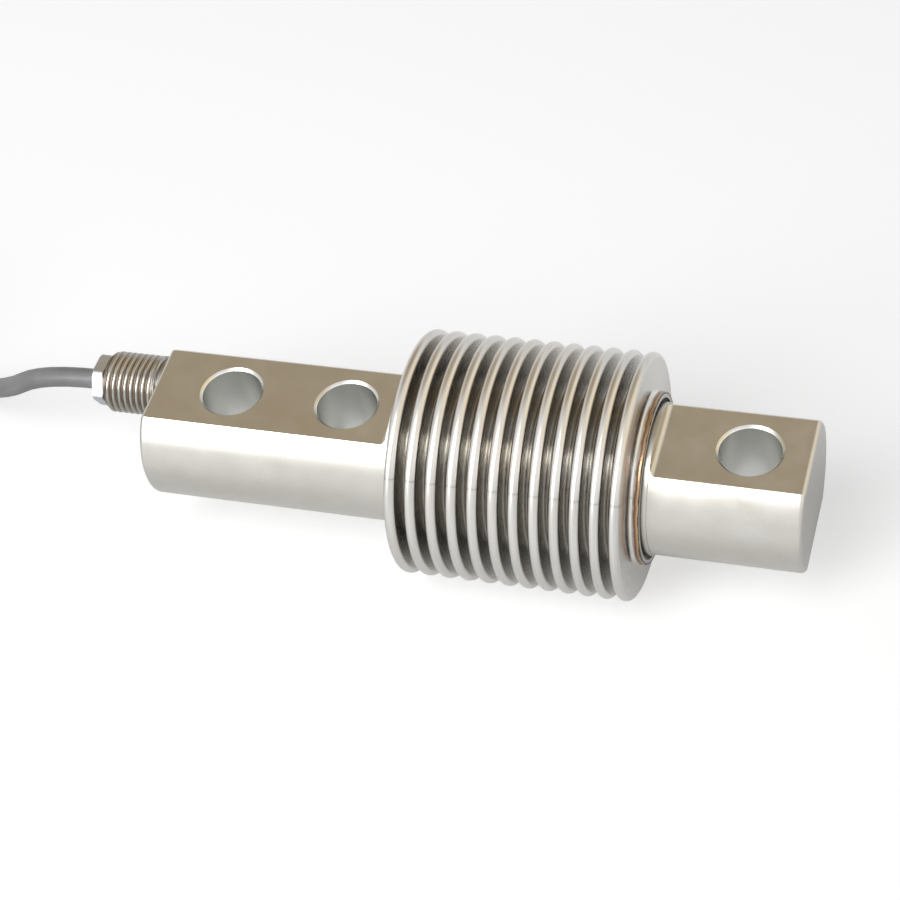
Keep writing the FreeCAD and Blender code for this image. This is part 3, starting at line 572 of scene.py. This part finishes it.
def heat_tinted(name, weld_x, inwards):
    """Steel with heat colours that start at the weld and fade along inwards, -1 or 1."""
    material, tree, shader, place = new_finish(name, metallic=1.0)
    along, radius, angle = round_place(tree, place)
    blotches = wander(tree, place, 260, 4, TINT_WANDER)
    depth = math_node(tree, "MULTIPLY", math_node(tree, "SUBTRACT", along, weld_x), inwards)
    reach = math_node(tree, "DIVIDE", math_node(tree, "ADD", depth, blotches), TINT_REACH)
    tint = ramp(
        tree, reach,
        (0.03, VIOLET), (0.1, BRONZE), (0.28, GOLD), (0.42, BRONZE), (0.6, RED_BROWN), (0.9, RING_STEEL),
    )
    lines = lathe_lines(tree, along, radius, angle, scale=3000)
    scored = varied(tree, tint, lines, grey(0.85))
    # Painted shade: near the weld, the ring's face below its outer edge is made near-black.
    on_face = spread(tree, radius, RING_RADIUS - FACE_SHADE_STARTS, RING_RADIUS - FACE_SHADE_FULL)
    at_weld = spread(tree, reach, 0.3, 0.5, low=1.0, high=0.0)
    colour = mixed(tree, "MIX", math_node(tree, "MULTIPLY", on_face, at_weld), scored, WELD_FACE_SHADE)
    dress(tree, shader, colour, between(tree, lines, 0.2, 0.32), height=lines, depth=0.000003)
    return material


def ring_section(width, weld_side):
    """Closed section of a backing ring, with its rounded weld edge on one side."""
    bore = RING_RADIUS - RING_WALL
    rounded = arc(width - WELD_BEAD, RING_RADIUS - WELD_BEAD, WELD_BEAD, start=90, end=-30, steps=6)
    points = [(0.0, bore), (0.0, RING_RADIUS - BROKEN_EDGE), (BROKEN_EDGE, RING_RADIUS)]
    points += [(x, r, 1.0) for x, r in rounded]
    points += [(width, bore), (0.0, bore)]
    if weld_side < 0:
        points = [(width - point[0], *point[1:]) for point in points]
    return points


def face_outwards(mesh):
    """Turns the faces of a closed shell so that they look away from its inside."""
    shape = bmesh.new()
    shape.from_mesh(mesh)
    bmesh.ops.recalc_face_normals(shape, faces=shape.faces)
    shape.to_mesh(mesh)
    shape.free()


for side, weld_side in (("fixed", -1), ("load", 1)):
    low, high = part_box("weld_ring_" + side)
    weld_x = high.x if weld_side > 0 else low.x
    finish = heat_tinted("heat_tint_" + side, weld_x, -weld_side)
    section = ring_section(high.x - low.x, weld_side)
    ring_mesh = turned_mesh(
        "backing_ring_" + side, section, finish, (low.x, 0, AXIS_HEIGHT),
        RING_SEGMENTS, ripples=WELD_RIPPLES, ripple_depth=RIPPLE_DEPTH,
    )
    face_outwards(ring_mesh)
    ring = show("backing_ring_" + side, ring_mesh)
    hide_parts("weld_ring_" + side)
    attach(ring, "root")


# The gland's body is turned stainless steel with a fine outside thread for a conduit nut, a plain
# neck against the bar and a chamfered mouth. It is screwed into the bar on a rubber ring.
GLAND_Y = (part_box("gland_nipple")[0].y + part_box("gland_nipple")[1].y) / 2
GLAND_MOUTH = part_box("gland_nipple")[0].x
BAR_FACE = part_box("spring_element")[0].x
NECK = 0.004
THREAD_RADIUS = (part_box("gland_nipple")[1].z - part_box("gland_nipple")[0].z) / 2
THREAD_PITCH = 0.001337
THREAD_DEPTH = 0.00047
THREAD_FLAT = 0.22
THREAD_RUN_OUT = 0.0009
MOUTH_CHAMFER = 0.0012
GLAND_SEGMENTS = 96
GLAND_STEEL = (0.4, 0.385, 0.355, 1)
GLAND_GROOVE_SHADE = (0.5, 0.41, 0.32)


def thread_tree():
    """A screw thread along X: rows of points follow the helix and stop at both ends."""
    tree, given = form_tree("Screw thread", (
        ("Start", "Float"),
        ("Length", "Float"),
        ("Pitch", "Float"),
        ("Outer Radius", "Float"),
        ("Depth", "Float"),
        ("Flat", "Float"),
        ("Run Out", "Float"),
        ("Chamfer", "Float"),
        ("Rows per Pitch", "Int"),
        ("Segments", "Int"),
        ("Centre", "Vector"),
        ("Finish", "Material"),
    ))
    turns = math_node(tree, "ADD", math_node(tree, "DIVIDE", given["Length"], given["Pitch"]), 2)
    rows = math_node(tree, "CEIL", math_node(tree, "MULTIPLY", turns, given["Rows per Pitch"]))
    grid, row, share = point_grid(tree, rows, given["Segments"])
    turn = math_node(tree, "ADD", share, 0.5)
    angle = math_node(tree, "MULTIPLY", turn, 2 * math.pi)
    lead = math_node(tree, "DIVIDE", row, given["Rows per Pitch"])
    pitches = math_node(tree, "SUBTRACT", math_node(tree, "ADD", lead, turn), 1)
    free = math_node(tree, "MULTIPLY", pitches, given["Pitch"])
    along = math_node(tree, "MINIMUM", math_node(tree, "MAXIMUM", free, 0), given["Length"])
    twice = math_node(tree, "MULTIPLY", math_node(tree, "FRACT", lead), 2)
    flank = math_node(tree, "ABSOLUTE", math_node(tree, "SUBTRACT", twice, 1))
    groove = spread(tree, flank, given["Flat"], 1.0, soft=True)
    left = math_node(tree, "SUBTRACT", given["Length"], along)
    run_out = spread(tree, along, 0.0, given["Run Out"])
    cut = math_node(tree, "MULTIPLY", math_node(tree, "MULTIPLY", groove, given["Depth"]), run_out)
    threaded = math_node(tree, "SUBTRACT", given["Outer Radius"], cut)
    taper = math_node(tree, "MAXIMUM", math_node(tree, "SUBTRACT", given["Chamfer"], left), 0)
    cone = math_node(tree, "SUBTRACT", given["Outer Radius"], taper)
    radius = math_node(tree, "MINIMUM", threaded, cone)
    outwards = math_node(tree, "SUBTRACT", given["Start"], along)
    return finished_form(tree, given, grid, outwards, radius, angle)


def turned_steel(name, colour, low, high, painted_shade, grooves=1.0):
    """Turned gland metal, low to high in roughness, with lines round it and painted shade in its grooves.
    """
    material, tree, shader, place = new_finish(name, metallic=1.0)
    along, radius, angle = round_place(tree, place, GLAND_Y)
    lines = lathe_lines(tree, along, radius, angle, scale=3600)
    outwards = math_node(tree, "DIVIDE", radius, THREAD_RADIUS)
    # Painted shade: darker in the thread's grooves and nearer the axis, but not on the gland's plain neck.
    with_painted_shade = ramp(tree, outwards, (0.935, painted_shade), (0.99, grey(1.0)))
    on_thread = spread(tree, along, BAR_FACE - NECK, BAR_FACE - NECK - 0.0003)
    clouds = noise(tree, place, scale=240, detail=3)
    toned = mixed(tree, "MULTIPLY", on_thread, colour, with_painted_shade)
    shaded = varied(tree, toned, clouds, grey(0.9))
    worn = spread(tree, radius, THREAD_RADIUS - THREAD_DEPTH, THREAD_RADIUS, low=grooves, high=1.0)
    roughness = math_node(tree, "MULTIPLY", between(tree, lines, low, high), worn)
    dress(tree, shader, shaded, roughness, height=lines, depth=0.000002)
    return material


nipple_steel = turned_steel("gland_thread", GLAND_STEEL, 0.16, 0.24, GLAND_GROOVE_SHADE, grooves=1.6)
thread_mesh = with_nodes("thread_rows", bpy.data.meshes.new("no_points"), thread_tree(), {
    "Start": BAR_FACE - NECK,
    "Length": BAR_FACE - NECK - GLAND_MOUTH,
    "Pitch": THREAD_PITCH,
    "Outer Radius": THREAD_RADIUS,
    "Depth": THREAD_DEPTH,
    "Flat": THREAD_FLAT,
    "Run Out": THREAD_RUN_OUT,
    "Chamfer": MOUTH_CHAMFER,
    "Rows per Pitch": 10,
    "Segments": GLAND_SEGMENTS,
    "Centre": (0, GLAND_Y, AXIS_HEIGHT),
    "Finish": nipple_steel,
})


def nipple_core_section():
    """Closed section of the gland's body without its thread, from its root in the bar to its mouth."""
    passage = 0.0024
    chamber = 0.0043
    chamber_depth = 0.009
    spigot = 0.004
    spigot_reach = 0.007
    seat_depth = 0.0009
    seat_wall = 0.001
    neck = 0.00595
    neck_step = 0.0003
    mouth_step = 0.0004
    bevel = 0.0002
    under_thread = 0.0002
    core = THREAD_RADIUS - THREAD_DEPTH - under_thread
    mouth = GLAND_MOUTH - BAR_FACE
    return [
        (spigot_reach, passage),
        (mouth + chamber_depth, passage),
        (mouth + chamber_depth, chamber),
        (mouth, chamber),
        (mouth, THREAD_RADIUS - MOUTH_CHAMFER),
        (mouth + mouth_step, core),
        (-NECK - neck_step, core),
        (-NECK, core),
        (-NECK + bevel, neck),
        (-bevel, neck),
        (0.0, neck - bevel),
        (0.0, spigot + seat_wall),
        (-seat_depth, spigot + seat_wall),
        (-seat_depth, spigot),
        (spigot_reach, spigot),
        (spigot_reach, passage),
    ]


core_centre = (BAR_FACE, GLAND_Y, AXIS_HEIGHT)
core_mesh = turned_mesh("nipple_core", nipple_core_section(), nipple_steel, core_centre, GLAND_SEGMENTS)
smooth_with_edges(core_mesh)
face_outwards(core_mesh)
nipple_shape = bmesh.new()
nipple_shape.from_mesh(thread_mesh)
for loop_x in (BAR_FACE - NECK, GLAND_MOUTH):
    bmesh.ops.holes_fill(nipple_shape, edges=rim_at(nipple_shape, loop_x))
bmesh.ops.recalc_face_normals(nipple_shape, faces=nipple_shape.faces)
nipple_shape.from_mesh(core_mesh)
nipple_mesh = bpy.data.meshes.new("gland_body")
nipple_shape.to_mesh(nipple_mesh)
nipple_shape.free()
nipple_mesh.materials.append(nipple_steel)
nipple = show("gland_body", nipple_mesh)
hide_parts("gland_nipple")
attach(nipple, "root")


# The hollow screw squeezes a rubber bush between two washers round the cable. Its small hexagon stands
# a little off the gland's mouth. A rubber ring seals the gland's shoulder against the bar.
SCREW_STEEL = (0.58, 0.61, 0.66, 1)
SCREW_INNER_SHADE = (0.93, 0.92, 0.9)
WASHER_STEEL = (0.62, 0.62, 0.6, 1)
WASHER_INNER_SHADE = (0.9, 0.9, 0.9)
RUBBER = (0.03, 0.03, 0.03, 1)

screw = merged_copy("gland_screw", "compression_screw")
screw.data.materials.append(turned_steel("gland_screw_steel", SCREW_STEEL, 0.32, 0.42, SCREW_INNER_SHADE))
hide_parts("gland_screw")
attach(screw, "root")
seal_rubber = plain_plastic("seal_rubber", RUBBER, rough=0.6, scale=1800, depth=0.00001)
washer_steel = turned_steel("washer_steel", WASHER_STEEL, 0.25, 0.35, WASHER_INNER_SHADE)
for name in ("gland_o_ring", "gland_seal"):
    refinish(name, seal_rubber)
for name in ("washer_inner", "washer_outer"):
    refinish(name, washer_steel)


# The cable has a round grey jacket. It leaves the gland along the bar, comes down to the surface and
# runs along it to a neat tied coil of the length that is not in use.
CABLE = 0.0044
CABLE_EXIT = Vector((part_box("gland_screw")[0].x, GLAND_Y, AXIS_HEIGHT))
RUN_Y = GLAND_Y + 0.014
ROUTE = [
    CABLE_EXIT,
    CABLE_EXIT + Vector((-0.014, 0, 0)),
    CABLE_EXIT + Vector((-0.027, 0.001, -0.0095)),
    Vector((CABLE_EXIT.x - 0.056, RUN_Y, CABLE / 2)),
    Vector((CABLE_EXIT.x - 0.076, RUN_Y, CABLE / 2)),
]
INNER_TURN = 0.0216
OUTER_TURN = INNER_TURN + CABLE * 2
TURNS_IN_LAYERS = (3, 3, 3, 3, 3, 2)
COIL_HEIGHT = CABLE * len(TURNS_IN_LAYERS)
COIL_CENTRE = Vector((CABLE_EXIT.x - 0.095, RUN_Y - OUTER_TURN, 0))
POINTS_PER_TURN = 16
STEP_ARC = 70
TIE_ANGLE = 180
TIE_REACH = 55
TIE_LIFT = 0.0009
JACKET_GREY = (0.21, 0.21, 0.212, 1)


def turn_places():
    """(radius, height) of every turn of the coil in the order in which it is wound."""
    places = []
    for layer, turns in enumerate(TURNS_IN_LAYERS):
        radii = [OUTER_TURN - CABLE * turn for turn in range(turns)]
        if layer % 2:
            radii.reverse()
        places += [(radius, CABLE * (layer + 0.5)) for radius in radii]
    return places


def coil_points():
    """Points round the coil, anticlockwise from where the run along the surface meets it.

    The last turn stops a quarter short. Near the strap the turns rise, the lowest the most, because the
    strap passes under them.
    """
    places = turn_places()
    outside = 1 / math.cos(math.pi / POINTS_PER_TURN)
    step = 360 / POINTS_PER_TURN
    last = len(places) * POINTS_PER_TURN - POINTS_PER_TURN // 4
    points = []
    for number in range(1, last + 1):
        turned = number * step
        turn = int(turned // 360)
        within = turned - 360 * turn
        radius, height = places[min(turn, len(places) - 1)]
        if turn + 1 < len(places) and within > 360 - STEP_ARC:
            share = (within - 360 + STEP_ARC) / STEP_ARC
            share = share * share * (3 - 2 * share)
            radius += (places[turn + 1][0] - radius) * share
            height += (places[turn + 1][1] - height) * share
        angle = 90 + turned
        off_tie = abs((angle - TIE_ANGLE + 180) % 360 - 180)
        lift = TIE_LIFT * max(0.0, 1 - off_tie / TIE_REACH) * (1 - height / COIL_HEIGHT)
        spoke = Vector((math.cos(math.radians(angle)), math.sin(math.radians(angle)), 0))
        points.append(COIL_CENTRE + spoke * radius * outside + Vector((0, 0, height + lift)))
    return points


def smooth_line(name, points, thickness, finish):
    """A round cord on one smooth curve with these control points."""
    line = bpy.data.curves.new(name, "CURVE")
    line.dimensions = "3D"
    spline = line.splines.new("NURBS")
    spline.points.add(len(points) - 1)
    for point, place in zip(spline.points, points):
        point.co = (*place, 1)
    spline.order_u = 3
    spline.use_endpoint_u = True
    spline.resolution_u = 6
    line.bevel_depth = thickness / 2
    line.bevel_resolution = 5
    line.use_fill_caps = True
    line.materials.append(finish)
    return show(name, line)


def jacket():
    """Matt grey jacket with a fine grain and a slow change of tone."""
    material, tree, shader, place = new_finish("cable_jacket", metallic=0.0)
    grain = noise(tree, place, scale=1600, detail=3)
    tone = noise(tree, place, scale=120, detail=3)
    colour = varied(tree, JACKET_GREY, tone, grey(0.82), light=grey(1.1))
    dress(tree, shader, colour, between(tree, tone, 0.34, 0.46), height=grain, depth=0.000012)
    return material


jacket_finish = jacket()
cable = smooth_line("cable", ROUTE + coil_points(), CABLE, jacket_finish)
refinish("cable_in_channel", jacket_finish)
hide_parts("cable_run", "cable_coil")
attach(cable, "root")


# The cable's end is stripped to four coloured cores and the bare drain wire of its screen. They lie on
# the turn below them. A black nylon strap ties the turns.
CORE_COLOURS = {
    "core_red": (0.55, 0.03, 0.03, 1),
    "core_black": (0.02, 0.02, 0.02, 1),
    "core_green": (0.03, 0.3, 0.08, 1),
    "core_white": (0.78, 0.78, 0.75, 1),
}
TINNED_COPPER = (0.66, 0.65, 0.62, 1)
NYLON = (0.03, 0.03, 0.03, 1)

for name, colour in CORE_COLOURS.items():
    refinish(name, plain_plastic(name + "_sleeve", colour, rough=0.4, scale=2500, depth=0.000004))
strand = plain_plastic("tinned_strand", TINNED_COPPER, rough=0.3, scale=3000, depth=0.00001, metallic=1.0)
refinish("screen_drain", strand)
refinish("coil_tie", plain_plastic("nylon_strap", NYLON, rough=0.4, scale=1500, depth=0.00001))


# The studio: a pale floor, a wide soft lamp in front on the left above the camera, and the camera at
# the picture's place and lens. The sky is even apart from a dimmer far side, and only metal sees its
# warm tones, its brighter front and a bright strip on the right.
CAMERA_SPOT = Vector((0.13267, -0.30156, 0.38620))
CAMERA_AIM = Vector((-0.2656, 0.6193, -0.7389))
CAMERA_RIGHT = Vector((0.9574, 0.2593, -0.1268))
CAMERA_LENS = 95.36
LAMP_AZIMUTH = math.radians(-120.2)
LAMP_ELEVATION = math.radians(44.2)
LAMP_DISTANCE = 0.9
LAMP_SIZE = (1.0, 0.38)
LAMP_POWER = 7.9
LAMP_ROLL = math.radians(68.5)
FLOOR_REACH = 4.0
FLOOR_TONE = 0.55
FLOOR_SEEN = 0.57
FLOOR_NEAR = 0.3
FLOOR_FAR = 0.6
FLOOR_SPAN = (0.015, 0.08)
SKY_FILL = 0.27
FAR_FILL = 0.3
FAR_SKY = (0.54, 0.445, 0.315, 1)
FAR_DIRECTION = Vector((-0.296, 0.681, 0.669)).normalized()
FAR_SPAN = (0.76, 0.94)
WARM_SKY = (1.3, 1.13, 0.84, 1)
WARM_DIRECTION = Vector((0.85, 0.25, 0.35)).normalized()
WARM_SPAN = (0.72, 0.88)
FRONT_SKY = 1.15
FRONT_DIRECTION = Vector((-0.23, -0.95, 0.15)).normalized()
FRONT_SPAN = (0.75, 0.95)
STRIP_SKY = 1.35
STRIP_DIRECTION = Vector((0, -0.656, 0.755))
STRIP_WIDTH = (0.9, 0.95)
STRIP_START = (0.3, 0.5)


def pale_floor():
    """Near-white floor that keeps the object's shadow and looks brighter to the camera and to metal."""
    material = bpy.data.materials.new("pale_floor")
    material.use_nodes = True
    tree = material.node_tree
    tree.nodes.clear()
    seen = node(tree, "ShaderNodeLightPath").outputs
    place = node(tree, "ShaderNodeTexCoord").outputs["Object"]
    aside = math_node(tree, "ABSOLUTE", node(tree, "ShaderNodeSeparateXYZ", Vector=place).outputs["Y"])
    # Painted shadow: metal sees the floor's glow weaker in a band along the object, under it.
    mirrored = spread(tree, aside, *FLOOR_SPAN, low=FLOOR_NEAR, high=FLOOR_FAR, soft=True)
    for_camera = math_node(tree, "MULTIPLY", seen["Is Camera Ray"], FLOOR_SEEN)
    for_metal = math_node(tree, "MULTIPLY", seen["Is Glossy Ray"], mirrored)
    matt = node(tree, "ShaderNodeBsdfDiffuse", Color=grey(FLOOR_TONE))
    direct = math_node(tree, "ADD", for_camera, for_metal)
    glow = node(tree, "ShaderNodeEmission", Color=grey(1.0), Strength=direct)
    both = node(tree, "ShaderNodeAddShader", _0=matt.outputs[0], _1=glow.outputs[0])
    node(tree, "ShaderNodeOutputMaterial", Surface=both.outputs[0])
    return material


def facing(tree, ray, direction):
    """How nearly a ray goes in a direction, as a cosine."""
    dot = node(tree, "ShaderNodeVectorMath", {"operation": "DOT_PRODUCT"}, _0=ray, _1=direction)
    return dot.outputs["Value"]


corners = [(FLOOR_REACH * x, FLOOR_REACH * y, 0) for x, y in ((-1, -1), (1, -1), (1, 1), (-1, 1))]
floor_mesh = bpy.data.meshes.new("floor")
floor_mesh.from_pydata(corners, [], [(0, 1, 2, 3)])
floor_mesh.materials.append(pale_floor())
floor = show("floor", floor_mesh)

world = bpy.data.worlds.new("studio")
bpy.context.scene.world = world
world.use_nodes = True
sky = world.node_tree
sky.nodes.clear()
rays = node(sky, "ShaderNodeLightPath").outputs
glossy = math_node(sky, "MAXIMUM", rays["Is Glossy Ray"], rays["Is Transmission Ray"])
towards = node(sky, "ShaderNodeTexCoord").outputs["Generated"]
far_side = spread(sky, facing(sky, towards, FAR_DIRECTION), *FAR_SPAN, soft=True)
warm_side = spread(sky, facing(sky, towards, WARM_DIRECTION), *WARM_SPAN, soft=True)
front_side = spread(sky, facing(sky, towards, FRONT_DIRECTION), *FRONT_SPAN, soft=True)
far_toned = mixed(sky, "MIX", far_side, grey(1.0), FAR_SKY)
fronted = mixed(sky, "MIX", front_side, far_toned, grey(FRONT_SKY))
warmed = mixed(sky, "MIX", warm_side, fronted, WARM_SKY)
rightwards = node(sky, "ShaderNodeSeparateXYZ", Vector=towards).outputs["X"]
squared = math_node(sky, "MULTIPLY", rightwards, rightwards)
across_bar = math_node(sky, "SQRT", math_node(sky, "SUBTRACT", 1.0001, squared))
round_bar = math_node(sky, "DIVIDE", facing(sky, towards, STRIP_DIRECTION), across_bar)
in_strip = spread(sky, round_bar, *STRIP_WIDTH, soft=True)
on_right = spread(sky, rightwards, *STRIP_START, soft=True)
strip_part = math_node(sky, "MULTIPLY", in_strip, on_right)
reflected = mixed(sky, "MIX", strip_part, warmed, grey(STRIP_SKY))
fill_colour = mixed(sky, "MIX", far_side, grey(1.0), grey(FAR_FILL))
fill_sky = node(sky, "ShaderNodeBackground", Color=fill_colour, Strength=SKY_FILL).outputs[0]
metal_sky = node(sky, "ShaderNodeBackground", Color=reflected, Strength=1.0).outputs[0]
camera_sky = node(sky, "ShaderNodeBackground", Color=grey(1.0), Strength=1.0).outputs[0]
unseen_sky = node(sky, "ShaderNodeMixShader", _0=glossy, _1=fill_sky, _2=metal_sky).outputs[0]
whole_sky = node(sky, "ShaderNodeMixShader", _0=rays["Is Camera Ray"], _1=unseen_sky, _2=camera_sky)
node(sky, "ShaderNodeOutputWorld", Surface=whole_sky.outputs[0])

lamp_data = bpy.data.lights.new("soft_lamp", "AREA")
lamp_data.shape = "RECTANGLE"
lamp_data.size, lamp_data.size_y = LAMP_SIZE
lamp_data.energy = LAMP_POWER
lamp = show("soft_lamp", lamp_data)
from_object = Vector((
    math.cos(LAMP_ELEVATION) * math.cos(LAMP_AZIMUTH),
    math.cos(LAMP_ELEVATION) * math.sin(LAMP_AZIMUTH),
    math.sin(LAMP_ELEVATION),
))
lamp.location = Vector((0, 0, AXIS_HEIGHT)) + from_object * LAMP_DISTANCE
aimed = (-from_object).to_track_quat("-Z", "Y") @ Quaternion((0, 0, 1), LAMP_ROLL)
lamp.rotation_euler = aimed.to_euler()

camera_data = bpy.data.cameras.new("camera")
camera_data.lens = CAMERA_LENS
camera_data.sensor_width = 36
camera_data.clip_start = 0.01
camera = show("camera", camera_data)
aim = CAMERA_AIM.normalized()
right = (CAMERA_RIGHT - aim * CAMERA_RIGHT.dot(aim)).normalized()
up = right.cross(aim)
camera.matrix_world = Matrix((
    (right.x, up.x, -aim.x, CAMERA_SPOT.x),
    (right.y, up.y, -aim.y, CAMERA_SPOT.y),
    (right.z, up.z, -aim.z, CAMERA_SPOT.z),
    (0, 0, 0, 1),
))
bpy.context.scene.camera = camera
bpy.context.scene.view_settings.view_transform = "Standard"
